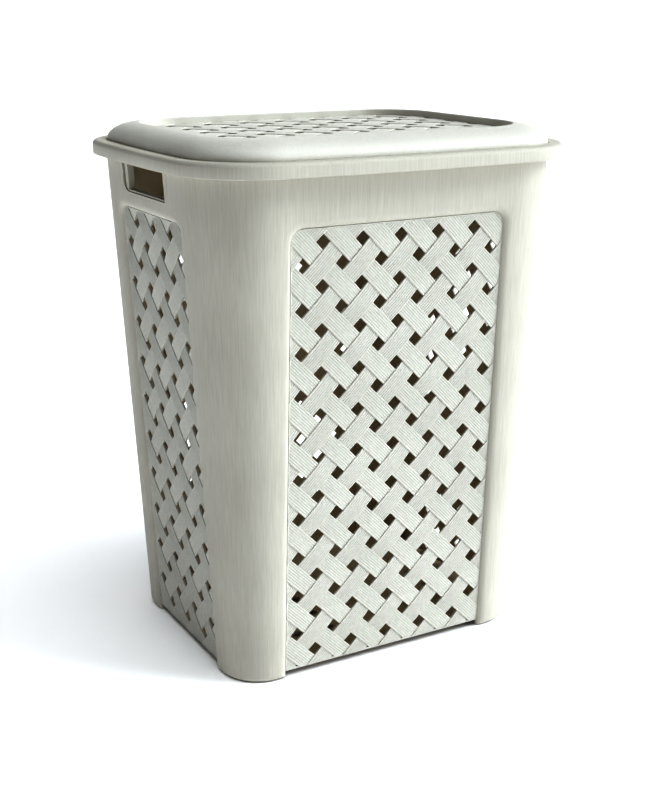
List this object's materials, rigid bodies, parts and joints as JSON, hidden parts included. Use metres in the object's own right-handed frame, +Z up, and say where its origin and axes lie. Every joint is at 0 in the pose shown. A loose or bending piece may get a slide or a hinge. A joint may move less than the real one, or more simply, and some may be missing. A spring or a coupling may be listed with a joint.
{
  "type": "laundry hamper",
  "caption": "Tall tapered laundry hamper in ivory plastic with woven-look panels, a hand-hold rim and a hinged domed lid.",
  "frame": {"origin": "on the floor, at the centre of the hamper's footprint", "axes": "+Z up; the wide front faces -Y; the lid is hinged along the rear (+Y) side; +X is to the right seen from the front"},
  "size_m": [0.4588, 0.375, 0.5755],
  "materials": {
    "frame_plastic": "matte ivory with fine vertical grain",
    "weave_plastic": "matte ivory with grooved strands",
    "pin_steel": "plain drawn steel"
  },
  "bodies": {
    "basket": {"body_frame": "frame_plastic", "front_weave_panel": "weave_plastic", "rear_weave_panel": "weave_plastic", "left_weave_panel": "weave_plastic", "right_weave_panel": "weave_plastic", "floor_panel": "frame_plastic", "rim_collar": "frame_plastic", "left_grip_liner": "frame_plastic", "right_grip_liner": "frame_plastic", "left_hinge_bracket": "frame_plastic", "right_hinge_bracket": "frame_plastic", "left_hinge_pin": "pin_steel", "right_hinge_pin": "pin_steel"},
    "lid": {"lid_shell": "frame_plastic", "lid_weave_panel": "weave_plastic"}
  },
  "joints": [
    {"name": "lid_hinge", "type": "hinge", "parent": "basket", "child": "lid", "pos_m": [0, 0.1805, 0.5619], "axis": [-1, 0, 0], "range_deg": [0, 105]}
  ]
}
